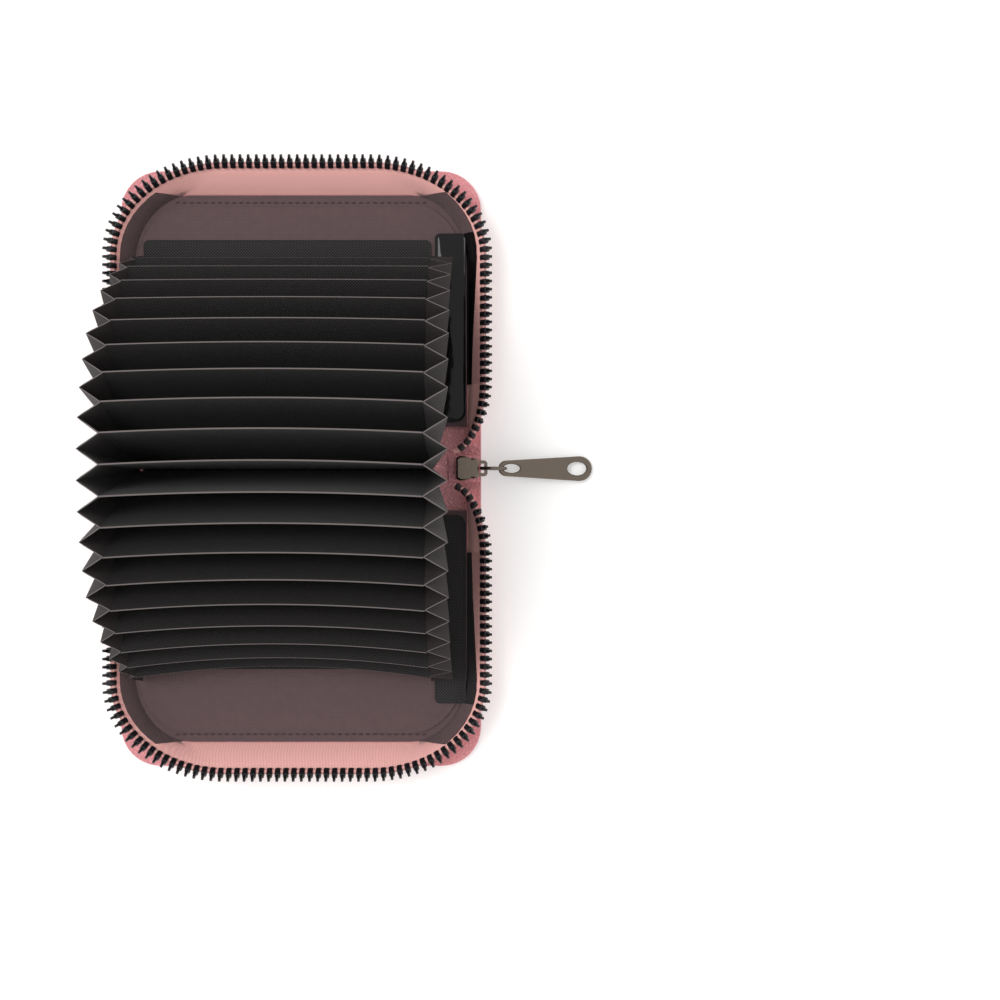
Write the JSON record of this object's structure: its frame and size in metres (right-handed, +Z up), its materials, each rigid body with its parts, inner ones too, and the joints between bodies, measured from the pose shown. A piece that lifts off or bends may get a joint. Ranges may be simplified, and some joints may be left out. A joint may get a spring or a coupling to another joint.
{
  "type": "accordion card wallet",
  "caption": "Zip-round card wallet fanned open: two leather covers on a spine, fabric accordion of card pockets, toothed zip with slider, ring and pull tab.",
  "frame": {"origin": "middle of the spine's outer face, which lies on the surface", "axes": "+X along the spine towards the zip slider, +Y towards the back cover, +Z up out of the open wallet"},
  "size_m": [0.1476, 0.1884, 0.0613],
  "materials": {
    "leather": "pebbled, satin",
    "lining": "fine plain weave",
    "accordion": "ribbed weave",
    "vinyl": "smooth and glossy",
    "tape": "woven tape",
    "teeth": "moulded, semi-gloss",
    "metal": "gunmetal plating"
  },
  "bodies": {
    "spine": {"spine_leather": "leather", "spine_lining": "lining", "accordion_root_band": "accordion", "slider_anchor_tab": "leather", "end_box_anchor_tab": "leather", "zip_end_box": "metal", "slider_body": "metal", "slider_bridge": "metal", "leaf_10": "accordion", "left_gusset": "accordion", "right_gusset": "accordion", "front_left_tail_tape": "tape", "front_left_tail_teeth": "teeth", "front_right_tail_tape": "tape", "front_right_tail_teeth": "teeth", "back_left_tail_tape": "tape", "back_left_tail_teeth": "teeth", "back_right_tail_tape": "tape", "back_right_tail_teeth": "teeth"},
    "back_cover": {"back_cover_leather": "leather", "back_cover_facing": "leather", "back_lining": "lining", "back_slip_pocket": "lining", "back_end_panel": "accordion", "back_side_pocket": "vinyl", "back_zip_tape": "tape", "back_zip_teeth": "teeth"},
    "front_cover": {"front_cover_leather": "leather", "front_cover_facing": "leather", "front_lining": "lining", "front_slip_pocket": "lining", "front_end_panel": "accordion", "front_side_pocket": "accordion", "front_zip_tape": "tape", "front_zip_teeth": "teeth"},
    "page_01": {"leaf_01": "accordion"},
    "page_02": {"leaf_02": "accordion"},
    "page_03": {"leaf_03": "accordion"},
    "page_04": {"leaf_04": "accordion"},
    "page_05": {"leaf_05": "accordion"},
    "page_06": {"leaf_06": "accordion"},
    "page_07": {"leaf_07": "accordion"},
    "page_08": {"leaf_08": "accordion"},
    "page_09": {"leaf_09": "accordion"},
    "page_11": {"leaf_11": "accordion"},
    "page_12": {"leaf_12": "accordion"},
    "page_13": {"leaf_13": "accordion"},
    "page_14": {"leaf_14": "accordion"},
    "page_15": {"leaf_15": "accordion"},
    "page_16": {"leaf_16": "accordion"},
    "page_17": {"leaf_17": "accordion"},
    "page_18": {"leaf_18": "accordion"},
    "page_19": {"leaf_19": "accordion"},
    "ring": {"pull_ring": "metal"},
    "tab": {"pull_tab": "metal"}
  },
  "joints": [
    {"name": "back_cover_hinge", "type": "hinge", "parent": "spine", "child": "back_cover", "pos_m": [0, 0.0116, 0.0007], "axis": [1, 0, 0], "range_deg": [0, 90], "deforming": ["left_gusset", "right_gusset", "back_left_tail_tape", "back_left_tail_teeth", "back_right_tail_tape", "back_right_tail_teeth"]},
    {"name": "front_cover_hinge", "type": "hinge", "parent": "spine", "child": "front_cover", "pos_m": [0, -0.0116, 0.0007], "axis": [-1, 0, 0], "range_deg": [0, 90], "deforming": ["left_gusset", "right_gusset", "front_left_tail_tape", "front_left_tail_teeth", "front_right_tail_tape", "front_right_tail_teeth"]},
    {"name": "page_01_hinge", "type": "hinge", "parent": "spine", "child": "page_01", "pos_m": [-0.004, -0.00805, 0.0035], "axis": [-1, 0, 0], "range_deg": [0, 77.76], "deforming": ["left_gusset", "right_gusset"]},
    {"name": "page_02_hinge", "type": "hinge", "parent": "spine", "child": "page_02", "pos_m": [-0.004, -0.00716, 0.00388], "axis": [-1, 0, 0], "range_deg": [0, 67.2], "deforming": ["left_gusset", "right_gusset"]},
    {"name": "page_03_hinge", "type": "hinge", "parent": "spine", "child": "page_03", "pos_m": [-0.004, -0.00626, 0.00421], "axis": [-1, 0, 0], "range_deg": [0, 57.64], "deforming": ["left_gusset", "right_gusset"]},
    {"name": "page_04_hinge", "type": "hinge", "parent": "spine", "child": "page_04", "pos_m": [-0.004, -0.00537, 0.0045], "axis": [-1, 0, 0], "range_deg": [0, 48.76], "deforming": ["left_gusset", "right_gusset"]},
    {"name": "page_05_hinge", "type": "hinge", "parent": "spine", "child": "page_05", "pos_m": [-0.004, -0.00447, 0.00474], "axis": [-1, 0, 0], "range_deg": [0, 40.3], "deforming": ["left_gusset", "right_gusset"]},
    {"name": "page_06_hinge", "type": "hinge", "parent": "spine", "child": "page_06", "pos_m": [-0.004, -0.00358, 0.00494], "axis": [-1, 0, 0], "range_deg": [0, 32.1], "deforming": ["left_gusset", "right_gusset"]},
    {"name": "page_07_hinge", "type": "hinge", "parent": "spine", "child": "page_07", "pos_m": [-0.004, -0.00268, 0.0051], "axis": [-1, 0, 0], "range_deg": [0, 24.02], "deforming": ["left_gusset", "right_gusset"]},
    {"name": "page_08_hinge", "type": "hinge", "parent": "spine", "child": "page_08", "pos_m": [-0.004, -0.00179, 0.00521], "axis": [-1, 0, 0], "range_deg": [0, 16], "deforming": ["left_gusset", "right_gusset"]},
    {"name": "page_09_hinge", "type": "hinge", "parent": "spine", "child": "page_09", "pos_m": [-0.004, -0.00089, 0.00528], "axis": [-1, 0, 0], "range_deg": [0, 8], "deforming": ["left_gusset", "right_gusset"]},
    {"name": "page_11_hinge", "type": "hinge", "parent": "spine", "child": "page_11", "pos_m": [-0.004, 0.00089, 0.00528], "axis": [1, 0, 0], "range_deg": [0, 8], "deforming": ["left_gusset", "right_gusset"]},
    {"name": "page_12_hinge", "type": "hinge", "parent": "spine", "child": "page_12", "pos_m": [-0.004, 0.00179, 0.00521], "axis": [1, 0, 0], "range_deg": [0, 16], "deforming": ["left_gusset", "right_gusset"]},
    {"name": "page_13_hinge", "type": "hinge", "parent": "spine", "child": "page_13", "pos_m": [-0.004, 0.00268, 0.0051], "axis": [1, 0, 0], "range_deg": [0, 24.02], "deforming": ["left_gusset", "right_gusset"]},
    {"name": "page_14_hinge", "type": "hinge", "parent": "spine", "child": "page_14", "pos_m": [-0.004, 0.00358, 0.00494], "axis": [1, 0, 0], "range_deg": [0, 32.1], "deforming": ["left_gusset", "right_gusset"]},
    {"name": "page_15_hinge", "type": "hinge", "parent": "spine", "child": "page_15", "pos_m": [-0.004, 0.00447, 0.00474], "axis": [1, 0, 0], "range_deg": [0, 40.3], "deforming": ["left_gusset", "right_gusset"]},
    {"name": "page_16_hinge", "type": "hinge", "parent": "spine", "child": "page_16", "pos_m": [-0.004, 0.00537, 0.0045], "axis": [1, 0, 0], "range_deg": [0, 48.76], "deforming": ["left_gusset", "right_gusset"]},
    {"name": "page_17_hinge", "type": "hinge", "parent": "spine", "child": "page_17", "pos_m": [-0.004, 0.00626, 0.00421], "axis": [1, 0, 0], "range_deg": [0, 57.64], "deforming": ["left_gusset", "right_gusset"]},
    {"name": "page_18_hinge", "type": "hinge", "parent": "spine", "child": "page_18", "pos_m": [-0.004, 0.00716, 0.00388], "axis": [1, 0, 0], "range_deg": [0, 67.2], "deforming": ["left_gusset", "right_gusset"]},
    {"name": "page_19_hinge", "type": "hinge", "parent": "spine", "child": "page_19", "pos_m": [-0.004, 0.00805, 0.0035], "axis": [1, 0, 0], "range_deg": [0, 77.76], "deforming": ["left_gusset", "right_gusset"]},
    {"name": "pull_ring_hinge", "type": "hinge", "parent": "spine", "child": "ring", "pos_m": [0.0565, 0, 0.0056], "axis": [0, 1, 0], "range_deg": [-25, 25]},
    {"name": "pull_tab_hinge", "type": "hinge", "parent": "ring", "child": "tab", "pos_m": [0.06095, 0, 0.0056], "axis": [0, 1, 0], "range_deg": [-40, 40]}
  ],
  "couplings": [
    {"joint": "page_01_hinge", "follows": "front_cover_hinge", "ratio": 0.864},
    {"joint": "page_02_hinge", "follows": "front_cover_hinge", "ratio": 0.74662},
    {"joint": "page_03_hinge", "follows": "front_cover_hinge", "ratio": 0.64043},
    {"joint": "page_04_hinge", "follows": "front_cover_hinge", "ratio": 0.54177},
    {"joint": "page_05_hinge", "follows": "front_cover_hinge", "ratio": 0.44783},
    {"joint": "page_06_hinge", "follows": "front_cover_hinge", "ratio": 0.35667},
    {"joint": "page_07_hinge", "follows": "front_cover_hinge", "ratio": 0.26693},
    {"joint": "page_08_hinge", "follows": "front_cover_hinge", "ratio": 0.17781},
    {"joint": "page_09_hinge", "follows": "front_cover_hinge", "ratio": 0.088889},
    {"joint": "page_11_hinge", "follows": "back_cover_hinge", "ratio": 0.088889},
    {"joint": "page_12_hinge", "follows": "back_cover_hinge", "ratio": 0.17781},
    {"joint": "page_13_hinge", "follows": "back_cover_hinge", "ratio": 0.26693},
    {"joint": "page_14_hinge", "follows": "back_cover_hinge", "ratio": 0.35667},
    {"joint": "page_15_hinge", "follows": "back_cover_hinge", "ratio": 0.44783},
    {"joint": "page_16_hinge", "follows": "back_cover_hinge", "ratio": 0.54177},
    {"joint": "page_17_hinge", "follows": "back_cover_hinge", "ratio": 0.64043},
    {"joint": "page_18_hinge", "follows": "back_cover_hinge", "ratio": 0.74662},
    {"joint": "page_19_hinge", "follows": "back_cover_hinge", "ratio": 0.864}
  ]
}
